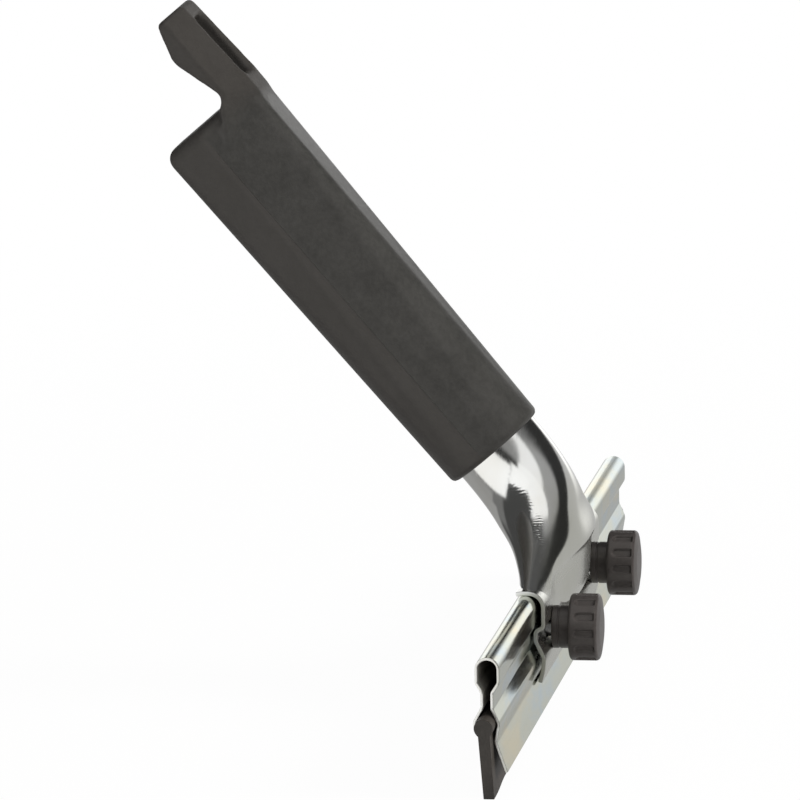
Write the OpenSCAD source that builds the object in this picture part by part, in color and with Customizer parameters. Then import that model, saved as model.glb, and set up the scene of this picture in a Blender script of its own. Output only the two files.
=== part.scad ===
// Window squeegee with a hooked grip, a flared steel neck, a clamped rail and a rubber blade.
// X runs along the rail, -Y is the knob side, Z is up and the blade edge lies on Z = 0.

/* [Rail] */
// Length of the rail
rail_len = 250; // [180:1:340]
// Height of the rail from the edge of its front plate to its top
rail_h = 29; // [27:0.5:32]
// Thickness of the rail sheet
rail_t = 0.7; // [0.6:0.05:0.75]
// Outer width of the round top of the rail
bulb_w = 6.2; // [5.8:0.1:6.4]
// Outer width of the rail at its waist
waist_w = 2.8; // [2.6:0.1:3]
// How far the edge of the front plate stands in front of the rail's middle
plate_flare = 4.9; // [4.2:0.1:6]
// Depth below the rail's top at which the round top starts to close
bulb_drop = 6.6; // [6.2:0.1:7]
// Depth of the waist and the bolts below the rail's top
waist_drop = 11.2; // [11:0.1:11.4]
// Depth of the bead below the rail's top
bead_drop = 16.9; // [16.7:0.1:17.1]
// Depth below the rail's top at which the front plate starts to flare
plate_drop = 21.4; // [21:0.1:22]
// Depth of the rail's rear edge below its top
rear_drop = 20; // [19.6:0.1:20.4]
// How far the front of the bead channel stands from the rail's middle
channel_front = 2.7; // [2.7:0.05:2.8]
// How far the rear of the bead channel stands from the rail's middle
channel_rear = 3.6; // [3.6:0.05:3.8]
// How far the rail's rear edge stands from the rail's middle
rear_edge = 2.3; // [2.3:0.05:2.5]
// How far the front plate stands from the rail's middle where it starts to flare
plate_root = 1.9; // [1.9:0.05:2]

/* [Blade] */
// How far the blade edge stands below the front plate
blade_reach = 5.7; // [4:0.1:9]
// How far the blade stands past each end of the rail
blade_extra = 5; // [0:0.5:12]
// Diameter of the bead
bead_d = 4.8; // [4.4:0.1:4.8]
// Thickness of the strip where it leaves the bead
blade_root_t = 3; // [2.4:0.1:3]
// Thickness of the strip at its edge
blade_tip_t = 2.7; // [1.6:0.1:2.9]
// How far the bead lies behind the rail's middle
bead_back = 0.45; // [0.4:0.05:0.5]
// How far the blade edge lies in front of the rail's middle
edge_front = 0.7; // [0.5:0.05:0.9]

/* [Saddle] */
// Width of the saddle along the rail
saddle_w = 108; // [96:1:120]
// Thickness of the saddle sheet
saddle_t = 1.1; // [0.9:0.05:1.2]
// How far the saddle's lip reaches behind the rail's middle
lip_back = 2.5; // [2.3:0.1:2.7]
// Depth of the saddle's lower edge below the rail's top
saddle_drop = 22; // [21:0.1:23]
// Free space between the saddle and the round top of the rail
saddle_gap = 0.8; // [0.7:0.05:0.9]
// Free space between the saddle and the waist of the rail
waist_gap = 0.5; // [0.4:0.05:0.6]
// Outer reach of the saddle's lower edge in front of the rail's middle
saddle_toe = 3.5; // [3.4:0.1:3.8]
// Distance of each bolt from the end of the saddle
bolt_inset = 15; // [13:0.5:22]
// Diameter of the bolts
bolt_d = 5; // [4:0.5:5]
// Diameter of the low round heads of the bolts
bolt_head_d = 7.8; // [7.2:0.1:8]
// Thickness of the heads of the bolts
bolt_head_h = 1.8; // [1.4:0.1:2.4]
// Free space round a bolt in the holes it passes through
hole_gap = 0.35; // [0.3:0.05:0.45]

/* [Knobs] */
// Diameter of the fluted head
knob_d = 17.2; // [15:0.2:19]
// Length of the fluted head without its dome
knob_len = 7.4; // [6.5:0.1:9]
// Height of the domed end
knob_dome = 1.4; // [1:0.1:2.4]
// Diameter of the collar behind the head
collar_d = 11; // [10:0.2:13]
// Length of the collar
collar_len = 4.2; // [3:0.1:6]
// Number of flutes
flute_count = 12; // [8:1:16]
// Radius of each flute
flute_r = 1.5; // [1.2:0.1:1.6]
// Depth of each flute
flute_depth = 0.6; // [0.3:0.05:0.8]
// Outer diameter of the threaded insert in a knob
insert_d = 7.5; // [7:0.1:8]
// Length of the threaded insert in a knob
insert_len = 8; // [6:0.5:9]
// Running clearance of the thread and of the knob on its insert
thread_gap = 0.05; // [0.03:0.01:0.08]

/* [Neck] */
// Diameter of the round part of the neck
neck_d = 24.2; // [23:0.2:25]
// Wall of the neck
neck_wall = 1.2; // [0.9:0.1:1.5]
// Lean of the grip from the upright
lean = 40.3; // [36:0.1:44]
// Height of the grip's lower end above the rail
neck_rise = 27.8; // [26:0.1:31]
// How far the grip's lower end stands behind the rail
neck_back = 14.4; // [13:0.1:16.5]
// How late the neck widens on its way down
flare_power = 2.5; // [2:0.1:3]
// How late the neck flattens on its way down
flatten_power = 3.3; // [2.5:0.1:4]
// Length of the neck inside the grip
stem_len = 88; // [60:1:100]

/* [Grip] */
// Length of the grip up to its shoulder
grip_len = 113.5; // [108:0.5:122]
// Length of the hook past the shoulder
hook_len = 27; // [24:0.5:32]
// How far the root of the hook stands out in front of the grip
hook_rise = 0.9; // [0.2:0.1:1.2]
// Diameter of the round lower end
grip_low_d = 28.8; // [28.6:0.1:30]
// Widest size of the grip along the rail
grip_w = 28.6; // [27.6:0.2:31]
// Reach of the grip's front face from the axis at the shoulder
grip_front = 15.4; // [15:0.1:17]
// Reach of the grip's back face from the axis at the shoulder
grip_rear = 15.4; // [14:0.1:16.4]
// Radius on the grip's long edges
edge_r = 3; // [2.6:0.1:3.4]
// Width of the front face between the middles of its round edges
front_flat = 13; // [11:0.5:14]
// Width of the back face between the middles of its round edges
rear_flat = 11; // [9:0.5:13]
// How far the widest line of the grip lies behind its axis
wide_back = 1.7; // [1:0.1:2.4]
// Radius on the edge of the shoulder
heel_r = 2.4; // [1.5:0.1:2.5]
// Distance of the hook's inner face from the axis at its root
hook_root = 8.4; // [8:0.1:9]
// Distance of the hook's nose from the axis
hook_nose = 4.8; // [4.4:0.1:5.6]
// Distance of the hook's inner face from the axis at its end
hook_tip = 7.6; // [7:0.1:8]
// Width of the recess in the hook
recess_w = 11; // [6:0.5:12]
// Length of the recess in the hook
recess_len = 19; // [12:0.5:20]
// Depth of the recess in the hook
recess_deep = 4; // [2:0.1:4.4]
// Radius in the corners of the recess
recess_r = 2.5; // [1.5:0.1:2.8]

/* [Hidden] */
$fn = 64;
bend_n = 5;
ring_n = 40;
loft_n = 16;

// Heights above the blade edge
rail_top = blade_reach + rail_h;
bolt_z = rail_top - waist_drop;
bead_z = rail_top - bead_drop;

// The blade edge is centred on Y = 0, so the rail's middle stands a little behind it
rail_y = edge_front;
bead_y = rail_y + bead_back;
bolt_x = saddle_w / 2 - bolt_inset;
bolt_r = bolt_d / 2;
blade_len = rail_len + 2 * blade_extra;

// Forward distances from the rail's middle
saddle_mid = bulb_w / 2 + saddle_gap + saddle_t / 2;
saddle_neck = waist_w / 2 + waist_gap + saddle_t / 2;
collar_at = saddle_mid + saddle_t / 2 + 0.05;
head_at = collar_at + collar_len;
head_end = head_at + knob_len;
bolt_seat = -3.2;
insert_at = collar_at + 1.5;
bolt_tip = head_end - 2;

// Centre line of the rail sheet, as forward distance and height, with its bend radii
bulb_mid = (bulb_w - rail_t) / 2;
waist_mid = (waist_w - rail_t) / 2;
rail_line = [
    [plate_flare - rail_t / 2, rail_top - rail_h],
    [plate_root, rail_top - plate_drop],
    [channel_front, bead_z],
    [waist_mid, bolt_z],
    [bulb_mid, rail_top - bulb_drop],
    [bulb_mid, rail_top - rail_t / 2],
    [-bulb_mid, rail_top - rail_t / 2],
    [-bulb_mid, rail_top - bulb_drop],
    [-waist_mid, bolt_z],
    [-channel_rear, bead_z],
    [-rear_edge, rail_top - rear_drop]
];
top_r = bulb_mid - 0.05;
rail_bends = [0, 1.5, 3, 2.5, 1.5, top_r, top_r, 1.5, 2.5, 2.2, 0];

// Centre line of the saddle sheet, which closes in at the bolts
saddle_top = rail_top + saddle_t / 2;
close_h = 3;
flat_h = 1;
saddle_line = [
    [-lip_back, saddle_top - 0.25],
    [-lip_back / 3, saddle_top],
    [saddle_mid, saddle_top],
    [saddle_mid, bolt_z + close_h],
    [saddle_neck, bolt_z + flat_h],
    [saddle_neck, bolt_z - flat_h],
    [saddle_mid + 0.1, bead_z - 0.7],
    [saddle_toe, rail_top - saddle_drop]
];
saddle_bends = [0, 2, 3.8, 1, 0.9, 1.5, 2, 0];

// Path of the neck from the grip's lower end to the saddle
neck_r = neck_d / 2;
foot_a = saddle_w / 2 + 9;
foot_b = 3.5;
blunt = 0.4;
neck_top = [-neck_back, rail_top + neck_rise];
neck_p1 = neck_top + 14 * [sin(lean), -cos(lean)];
neck_p2 = [-0.9, rail_top + 9.3];
neck_end = [1, rail_top - 2];

function unit(v) = v / norm(v);
function side(v) = [-v[1], v[0]];
function cross2(a, b) = a[0] * b[1] - a[1] * b[0];

// Points of one rounded corner at b between a and c
function corner(a, b, c, r) =
    let (p = unit(a - b))
    let (q = unit(c - b))
    let (half = acos(p * q) / 2)
    let (mid = b + unit(p + q) * r / sin(half))
    let (from = b + p * r / tan(half) - mid)
    let (turn = (180 - 2 * half) * sign(cross2(b - a, c - b)))
    [for (i = [0:bend_n]) mid + spin(from, turn * i / bend_n)];
function spin(v, a) = [v[0] * cos(a) - v[1] * sin(a), v[0] * sin(a) + v[1] * cos(a)];

// A bent line with every inner corner rounded
function bent(v, r) =
    let (n = len(v) - 1)
    [for (i = [0:n]) each (r[i] == 0 ? [v[i]] : corner(v[i - 1], v[i], v[i + 1], r[i]))];

// The same line moved sideways by d
function beside(p, d) =
    let (n = len(p) - 1)
    [for (i = [0:n])
        let (s = unit(p[max(1, i)] - p[max(1, i) - 1]))
        let (t = unit(p[min(n, i + 1)] - p[min(n, i + 1) - 1]))
        let (m = unit(s + t))
        p[i] + side(m) * d / (m * s)];
function backwards(p) = [for (i = [len(p) - 1:-1:0]) p[i]];

// Forward distance and height to Y and Z
function yz(p) = [for (q = p) [rail_y - q[0], q[1]]];

// One point on a cubic curve
function cubic(a, b, c, d, t) =
    pow(1 - t, 3) * a + 3 * t * pow(1 - t, 2) * b + 3 * t * t * (1 - t) * c + t * t * t * d;

// One ring of the neck, cut by the wall d, at place t on its way down
function ring(t, d) =
    let (f = pow(t, flare_power))
    let (a = neck_r + (foot_a - neck_r) * f - d)
    let (b = neck_r + (foot_b - neck_r) * pow(t, flatten_power) - d)
    ring_at(cubic(neck_top, neck_p1, neck_p2, neck_end, t), lean * (1 - t), a, b, 1 - blunt * f);
function ring_at(c, tilt, a, b, e) =
    [for (j = [0:ring_n - 1])
        let (w = 360 * j / ring_n)
        let (g = b * sin(w))
        [a * sign(cos(w)) * pow(abs(cos(w)), e), rail_y - c[0] - g * cos(tilt), c[1] + g * sin(tilt)]];
function stem_ring(d) =
    ring_at(neck_top + stem_len * [-sin(lean), cos(lean)], lean, neck_r - d, neck_r - d, 1);
function skin(d) = concat(stem_ring(d), [for (i = [0:loft_n]) each ring(i / loft_n, d)]);

module along_x(l) {
    rotate([90, 0, 90])
        linear_extrude(height = l, center = true)
            children();
}

// Turns the work so that its Z runs forward, at the bolt on side s
module at_bolt(s) {
    translate([s * bolt_x, rail_y, bolt_z])
        rotate([90, 0, 0])
            children();
}

// Grip space: X stays, -Y is the side of the front face and Z runs up the grip
module in_grip() {
    translate([0, rail_y - neck_top[0], neck_top[1]])
        rotate([-lean, 0, 0])
            children();
}

module sheet(line, t) {
    polygon(yz(concat(beside(line, t / 2), backwards(beside(line, -t / 2)))));
}

module grip_ring(z, front, rear, inset) {
    r = edge_r - inset;
    for (s = [-1, 1]) {
        translate([s * (grip_w / 2 - edge_r), wide_back, z])
            cylinder(r = r, h = 0.1, $fn = 24);
        translate([s * front_flat / 2, edge_r - front, z])
            cylinder(r = r, h = 0.1, $fn = 24);
        translate([s * rear_flat / 2, rear - edge_r, z])
            cylinder(r = r, h = 0.1, $fn = 24);
    }
}

module grip() {
    color([0.2, 0.2, 0.2])
    in_grip()
    difference() {
        union() {
            grip_body();
            difference() {
                hook_body();
                hook_cut();
            }
        }
        translate([0, 0, -1])
            cylinder(d = neck_d + 0.1, h = stem_len + 2);
        recess();
    }
}

module grip_body() {
    hull() {
        cylinder(d = grip_low_d - 2, h = 1);
        translate([0, 0, 1])
            cylinder(d = grip_low_d, h = 2);
        for (a = [0:30:90])
            grip_ring(grip_len - 0.1 - heel_r * (1 - sin(a)), grip_front, grip_rear, heel_r * (1 - cos(a)));
    }
}

module hook_body() {
    end = grip_len + hook_len;
    hull() {
        grip_ring(grip_len - 11, grip_front - 0.6, grip_rear - 2, 0.3);
        grip_ring(grip_len - 4, grip_front + hook_rise, grip_rear - 2, 0.2);
        grip_ring(end - 1.1, grip_front - 0.5, grip_rear - 2, 0.2);
        grip_ring(end - 0.1, grip_front - 0.5, grip_rear - 2, 1);
    }
}

// The space beside the hook, with a round root and a blunt nose
module hook_cut() {
    nose = grip_len + hook_len * 0.66;
    end = grip_len + hook_len + 1;
    rotate([90, 0, 90])
        linear_extrude(height = grip_w + 10, center = true)
            polygon([
                [2 * grip_rear, grip_len - heel_r],
                [-hook_root + 4.4, grip_len - heel_r],
                [-hook_root + 2.8, grip_len + 0.1],
                [-hook_root + 1.2, grip_len + 0.8],
                [-hook_root + 0.2, grip_len + 2],
                [-hook_root, grip_len + 3.4],
                [-hook_nose - 0.3, nose - 1.6],
                [-hook_nose, nose],
                [-hook_nose - 0.3, nose + 1.6],
                [-hook_tip, end],
                [2 * grip_rear, end]
            ]);
}

module recess() {
    r = recess_r;
    translate([0, recess_deep - grip_front, grip_len + hook_len * 0.47])
        rotate([90, 0, 0])
            linear_extrude(height = grip_front) {
                square([recess_w, recess_len - 2 * r], center = true);
                square([recess_w - 2 * r, recess_len], center = true);
                for (s = [-1, 1], t = [-1, 1])
                    translate([s * (recess_w / 2 - r), t * (recess_len / 2 - r)])
                        circle(r = r);
            }
}

module neck() {
    color([0.8, 0.8, 0.8])
    difference() {
        neck_shell();
        along_x(rail_len)
            saddle_fill();
    }
}

module neck_shell() {
    m = ring_n;
    n = (loft_n + 1) * m;
    in0 = n + m;
    polyhedron(
        points = concat(skin(0), skin(neck_wall)),
        faces = concat(
            [for (k = [0:m:n - 1], j = [0:m - 1]) [k + j, k + (j + 1) % m, k + m + j]],
            [for (k = [0:m:n - 1], j = [0:m - 1]) [k + (j + 1) % m, k + m + (j + 1) % m, k + m + j]],
            [for (k = [0:m:n - 1], j = [0:m - 1]) [in0 + k + j, in0 + k + m + j, in0 + k + (j + 1) % m]],
            [for (k = [0:m:n - 1], j = [0:m - 1])
                [in0 + k + (j + 1) % m, in0 + k + m + j, in0 + k + m + (j + 1) % m]],
            [for (j = [0:m - 1]) [j, in0 + j, (j + 1) % m]],
            [for (j = [0:m - 1]) [(j + 1) % m, in0 + j, in0 + (j + 1) % m]],
            [for (j = [0:m - 1]) [n + j, n + (j + 1) % m, in0 + n + j]],
            [for (j = [0:m - 1]) [n + (j + 1) % m, in0 + n + (j + 1) % m, in0 + n + j]]
        ),
        convexity = 6
    );
}

// Everything under the outer face of the saddle
module saddle_fill() {
    line = bent(saddle_line, saddle_bends);
    polygon(yz(concat(beside(line, saddle_t / 2), [[saddle_toe, 0], [-bulb_w, 0], [-bulb_w, saddle_top]])));
}

module saddle() {
    color([0.75, 0.77, 0.78])
    difference() {
        along_x(saddle_w)
            sheet(bent(saddle_line, saddle_bends), saddle_t);
        for (s = [-1, 1])
            at_bolt(s)
                cylinder(r = bolt_r + hole_gap, h = 12);
    }
}

module rail() {
    color([0.7, 0.74, 0.7])
    difference() {
        along_x(rail_len)
            sheet(bent(rail_line, rail_bends), rail_t);
        for (s = [-1, 1])
            at_bolt(s)
                cylinder(r = bolt_r + hole_gap, h = 12, center = true);
    }
}

module blade() {
    color([0.25, 0.24, 0.22]) {
        translate([0, bead_y, bead_z])
            rotate([0, 90, 0])
                cylinder(d = bead_d, h = blade_len, center = true);
        along_x(blade_len)
            polygon([
                [bead_y - blade_root_t / 2, bead_z],
                [-blade_tip_t / 2, 0],
                [blade_tip_t / 2, 0],
                [bead_y + blade_root_t / 2, bead_z]
            ]);
    }
}

module knob(s) {
    color([0.18, 0.18, 0.18])
    at_bolt(s)
    difference() {
        rotate_extrude()
            knob_outline();
        for (i = [0:flute_count - 1])
            rotate([0, 0, 360 * i / flute_count])
                translate([knob_d / 2 + flute_r - flute_depth, 0, head_at + 1.8 + flute_r])
                    flute();
        cylinder(r = bolt_r + hole_gap, h = bolt_tip + 0.5);
        translate([0, 0, insert_at])
            cylinder(r = insert_d / 2 + thread_gap, h = insert_len);
    }
}

module flute() {
    cylinder(r = flute_r, h = knob_len + 5, $fn = 32);
    sphere(r = flute_r, $fn = 32);
}

module knob_outline() {
    r = knob_d / 2;
    polygon([
        [0, collar_at],
        [collar_d / 2, collar_at],
        [collar_d / 2, head_at],
        [r - 0.9, head_at],
        [r - 0.3, head_at + 0.3],
        [r, head_at + 0.9],
        [r, head_end - 0.9],
        [r - 0.3, head_end - 0.2],
        [r - 1.1, head_end + 0.35],
        [r * 0.6, head_end + knob_dome * 0.72],
        [r * 0.3, head_end + knob_dome * 0.94],
        [0, head_end + knob_dome]
    ]);
}

module insert(s) {
    color([0.72, 0.58, 0.3])
    at_bolt(s)
        translate([0, 0, insert_at])
            difference() {
                cylinder(d = insert_d, h = insert_len);
                translate([0, 0, -1])
                    cylinder(r = bolt_r + thread_gap, h = insert_len + 2);
            }
}

module bolt(s) {
    color([0.65, 0.66, 0.68])
    at_bolt(s) {
        translate([0, 0, bolt_seat - 0.01])
            cylinder(r = bolt_r, h = bolt_tip - bolt_seat + 0.01);
        rotate_extrude()
            polygon([
                [0, bolt_seat],
                [bolt_head_d / 2, bolt_seat],
                [bolt_head_d / 2, bolt_seat - bolt_head_h * 0.35],
                [bolt_head_d * 0.42, bolt_seat - bolt_head_h * 0.7],
                [bolt_head_d * 0.26, bolt_seat - bolt_head_h * 0.92],
                [0, bolt_seat - bolt_head_h]
            ]);
    }
}

grip();
neck();
saddle();
rail();
blade();
knob(-1);  // left_knob
knob(1);  // right_knob
insert(-1);  // left_insert
insert(1);  // right_insert
bolt(-1);  // left_bolt
bolt(1);  // right_bolt
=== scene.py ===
"""Looks of a window squeegee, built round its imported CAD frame.

X runs along the rail, -Y is the knob side and Z is up from the blade's edge. The classes hold their
sizes in millimetres, as distances forward of the rail's middle and heights above the blade's edge,
and the meshes are brought to metres when they become objects.
"""

import logging
import math
from collections.abc import Callable, Sequence
from dataclasses import dataclass, field
from enum import Enum
from functools import cached_property
from typing import Any

import bmesh
import bpy
from mathutils import Matrix, Vector
from mathutils.geometry import intersect_line_sphere_2d


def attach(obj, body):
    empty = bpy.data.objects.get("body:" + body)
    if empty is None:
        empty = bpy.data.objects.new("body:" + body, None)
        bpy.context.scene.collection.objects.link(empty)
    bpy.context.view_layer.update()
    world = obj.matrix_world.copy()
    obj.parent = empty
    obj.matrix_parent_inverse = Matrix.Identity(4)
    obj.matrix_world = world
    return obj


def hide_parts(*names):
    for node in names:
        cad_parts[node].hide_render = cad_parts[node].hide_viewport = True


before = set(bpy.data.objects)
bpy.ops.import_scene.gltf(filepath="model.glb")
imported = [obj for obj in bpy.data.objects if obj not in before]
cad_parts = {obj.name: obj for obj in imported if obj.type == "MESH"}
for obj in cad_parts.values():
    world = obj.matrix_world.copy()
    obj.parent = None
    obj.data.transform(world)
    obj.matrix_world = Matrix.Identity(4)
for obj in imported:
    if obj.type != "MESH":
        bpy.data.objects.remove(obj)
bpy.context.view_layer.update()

MM = 0.001
LOG = logging.getLogger("squeegee")

Mesh = bmesh.types.BMesh
Vert = bmesh.types.BMVert
Edge = bmesh.types.BMEdge
Piece = bpy.types.Object
Material = bpy.types.Material
Socket = bpy.types.NodeSocket
Colour = tuple[float, float, float, float]
Triple = tuple[float, float, float]


class Side(Enum):
    """The two ends of the saddle, with their sign along X."""

    LEFT = -1
    RIGHT = 1

    def named(self, part: str) -> str:
        """Name of a part on this side."""
        return f"{self.name.lower()}_{part}"


class Join(Enum):
    """The ways in which one solid works on another."""

    ADD = "UNION"
    CUT = "DIFFERENCE"


class Axle(Enum):
    """The row's main directions."""

    ALONG = Vector((1, 0, 0))
    FORWARD = Vector((0, -1, 0))
    UP = Vector((0, 0, 1))


@dataclass(frozen=True)
class Layout:
    """Sizes that several pieces share."""

    rail_top: float = 34.7
    rail_y: float = 0.7
    bolt_height: float = 23.5
    bolt_x: float = 39.0
    bolt_hole_r: float = 2.85
    bolt_reach: float = 12.0
    bead_height: float = 17.8
    saddle_crown: float = 1.1
    lean: float = math.radians(40.3)
    mouth_back: float = 14.4
    mouth_rise: float = 27.8

    def at(self, forward: float, height: float, along: float = 0.0) -> Vector:
        """Point at a forward distance, a height and a place along the rail."""
        return Vector((along, self.rail_y - forward, height))

    @property
    def mouth(self) -> tuple[float, float]:
        """Forward distance and height of the middle of the grip's lower end."""
        return -self.mouth_back, self.rail_top + self.mouth_rise

    @property
    def grip_space(self) -> Matrix:
        """Turns grip space, whose Z runs up the grip and -Y to its front, into the row frame."""
        return Matrix.Translation(self.at(*self.mouth)) @ Matrix.Rotation(-self.lean, 4, "X")


LAYOUT = Layout()


@dataclass(frozen=True)
class Bend:
    """One corner of a bent line.

    The first two numbers are forward distance and height on a sheet, radius and forward distance on a
    turned part, and backward and upward distance in grip space.
    """

    across: float
    along: float
    radius: float = 0.0


def bends(*rows: tuple[float, ...]) -> tuple[Bend, ...]:
    """Corners of a bent line, each as its two numbers and, where it is round, its radius."""
    return tuple(Bend(*row) for row in rows)


def smoother(t: float) -> float:
    """Soft step from 0 to 1 with no jump in slope or curvature at its ends."""
    t = min(1.0, max(0.0, t))
    return t * t * t * (t * (6.0 * t - 15.0) + 10.0)


def round_corner(bm: Mesh, corner: Vert, sides: tuple[Vector, Vector], radius: float, steps: int) -> None:
    """Rounds one corner of a line of edges.

    Args:
        bm: Mesh that holds the line.
        corner: The sharp corner.
        sides: Directions of the line away from the corner.
        radius: Radius of the round.
        steps: Edges in the round.
    """
    bmesh.ops.bevel(
        bm,
        geom=[corner],
        offset=radius / math.tan(sides[0].angle(sides[1]) / 2.0),
        offset_type="OFFSET",
        affect="VERTICES",
        segments=steps,
        profile=0.5,
        material=-1,
        clamp_overlap=False,
    )


def bent_wire(
    bm: Mesh, line: Sequence[Bend], place: Callable[[float, float], Vector], steps: int = 8
) -> None:
    """Adds an open line of edges with round corners.

    Args:
        bm: Mesh that takes the line.
        line: Corners in order, with their radii.
        place: Gives the point of a corner's two numbers.
        steps: Edges in each rounded corner.
    """
    points = [place(b.across, b.along) for b in line]
    verts = [bm.verts.new(p) for p in points]
    for ends in zip(verts, verts[1:]):
        bm.edges.new(ends)
    for i in range(1, len(line) - 1):
        if line[i].radius > 0.0:
            sides = points[i - 1] - points[i], points[i + 1] - points[i]
            round_corner(bm, verts[i], sides, line[i].radius, steps)


def rounded_loop(bm: Mesh, corners: Sequence[Vector], radii: Sequence[float], steps: int = 6) -> list[Edge]:
    """Adds a closed loop of edges with round corners.

    Args:
        bm: Mesh that takes the loop.
        corners: Sharp corners in order.
        radii: Radius of each corner.
        steps: Edges in each rounded corner.

    Returns:
        The loop's edges.
    """
    old = set(bm.edges)
    verts = [bm.verts.new(c) for c in corners]
    count = len(verts)
    for i in range(count):
        bm.edges.new((verts[i], verts[(i + 1) % count]))
    for i in range(count):
        sides = corners[i - 1] - corners[i], corners[(i + 1) % count] - corners[i]
        round_corner(bm, verts[i], sides, radii[i], steps)
    return [e for e in bm.edges if e not in old]


def draw_out(bm: Mesh, length: float) -> None:
    """Closes and fills a mesh's only line, and draws the face out along the rail.

    Args:
        bm: Mesh that holds an open line of edges.
        length: How far the face is drawn.
    """
    bm.edges.new([v for v in bm.verts if len(v.link_edges) == 1])
    bmesh.ops.remove_doubles(bm, verts=bm.verts[:], dist=0.01)
    face = bmesh.ops.edgeloop_fill(bm, edges=bm.edges[:])["faces"]
    grown = bmesh.ops.extrude_face_region(bm, geom=face)["geom"]
    far = [v for v in grown if isinstance(v, Vert)]
    bmesh.ops.translate(bm, vec=Axle.ALONG.value * length, verts=far)


def close_up(bm: Mesh) -> None:
    """Merges doubled vertices of a solid and turns its faces outward."""
    bmesh.ops.remove_doubles(bm, verts=bm.verts[:], dist=0.001)
    bmesh.ops.recalc_face_normals(bm, faces=bm.faces[:])


def face_up(bm: Mesh) -> None:
    """Makes an open sheet's faces agree, with the highest one looking up.

    Args:
        bm: Mesh of the sheet.
    """
    bmesh.ops.recalc_face_normals(bm, faces=bm.faces[:])
    highest = max(bm.faces, key=lambda f: f.calc_center_median().z)
    if highest.normal.z < 0.0:
        bmesh.ops.reverse_faces(bm, faces=bm.faces[:])


def new_object(name: str, bm: Mesh) -> Piece:
    """Makes an object at the origin from a bmesh in millimetres, and frees the bmesh.

    Args:
        name: Name of the object and its mesh.
        bm: Mesh in millimetres.

    Returns:
        The object, linked to the scene.
    """
    bmesh.ops.scale(bm, vec=(MM, MM, MM), verts=bm.verts)
    mesh = bpy.data.meshes.new(name)
    bm.to_mesh(mesh)
    bm.free()
    obj = bpy.data.objects.new(name, mesh)
    bpy.context.scene.collection.objects.link(obj)
    return obj


def modify(obj: Piece, kind: str, **settings: Any) -> None:
    """Adds a modifier to an object.

    Args:
        obj: Object that takes the modifier.
        kind: Blender's name of the modifier's type.
        **settings: Values of the modifier's properties.
    """
    modifier = obj.modifiers.new(kind.title(), kind)
    for key, value in settings.items():
        setattr(modifier, key, value)


def settle(obj: Piece) -> None:
    """Turns what an object's modifiers make into its own mesh.

    Args:
        obj: Object with modifiers.
    """
    depsgraph = bpy.context.evaluated_depsgraph_get()
    mesh = bpy.data.meshes.new_from_object(obj.evaluated_get(depsgraph), depsgraph=depsgraph)
    rough = obj.data
    obj.modifiers.clear()
    obj.data = mesh
    mesh.name = rough.name
    bpy.data.meshes.remove(rough)


def join(obj: Piece, tool: Piece, how: Join) -> None:
    """Works one solid on another and removes the tool.

    Args:
        obj: Solid that is kept.
        tool: Solid that is added or cut away.
        how: Whether the tool is added or cut away.
    """
    modify(obj, "BOOLEAN", operation=how.value, object=tool, solver="EXACT")
    settle(obj)
    mesh = tool.data
    bpy.data.objects.remove(tool)
    bpy.data.meshes.remove(mesh)


def break_edges(obj: Piece, radius: float, clamp: bool) -> None:
    """Rounds an object's sharp edges.

    Args:
        obj: Object that is changed.
        radius: Radius of the rounds.
        clamp: Whether rounds stay clear of each other.
    """
    limit = math.radians(60.0)
    shape = {"width": radius * MM, "segments": 2, "limit_method": "ANGLE", "angle_limit": limit}
    modify(obj, "BEVEL", use_clamp_overlap=clamp, **shape)
    settle(obj)


def shade(obj: Piece, crease: float) -> None:
    """Smooths an object's shading but for edges that turn by more than crease degrees."""
    obj.data.shade_smooth()
    obj.data.set_sharp_from_angle(angle=math.radians(crease))


def firm(obj: Piece) -> None:
    """Lets large faces lead the shading, so that flat faces look flat up to their edges."""
    modify(obj, "WEIGHTED_NORMAL", mode="FACE_AREA", keep_sharp=True)
    settle(obj)


def rod(name: str, start: Vector, way: Vector, length: float, radius: float) -> Piece:
    """Makes a round rod for cutting holes.

    Args:
        name: Name of the rod.
        start: Middle of its first end.
        way: Direction it runs in.
        length: Length of the rod.
        radius: Radius of the rod.

    Returns:
        The rod.
    """
    bm = bmesh.new()
    turn = way.to_track_quat("Z", "Y").to_matrix().to_4x4()
    place = Matrix.Translation(start + way.normalized() * length / 2.0) @ turn
    bmesh.ops.create_cone(
        bm, cap_ends=True, segments=64, radius1=radius, radius2=radius, depth=length, matrix=place
    )
    return new_object(name, bm)


def drill_for_bolts(obj: Piece) -> None:
    """Drills the two holes for the bolts through an object.

    Args:
        obj: Object that is drilled.
    """
    reach = LAYOUT.bolt_reach
    for side in Side:
        start = LAYOUT.at(-reach, LAYOUT.bolt_height, side.value * LAYOUT.bolt_x)
        join(obj, rod("drill", start, Axle.FORWARD.value, 2.0 * reach, LAYOUT.bolt_hole_r), Join.CUT)


def hand_over(obj: Piece, body: str, node: str) -> None:
    """Sets a finished piece in the frame in place of a CAD node.

    Args:
        obj: The finished piece.
        body: CAD body that it moves with.
        node: CAD node that it stands for.
    """
    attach(obj, body)
    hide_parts(node)
    LOG.info("%s stands for %s with %d faces", obj.name, node, len(obj.data.polygons))


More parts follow.
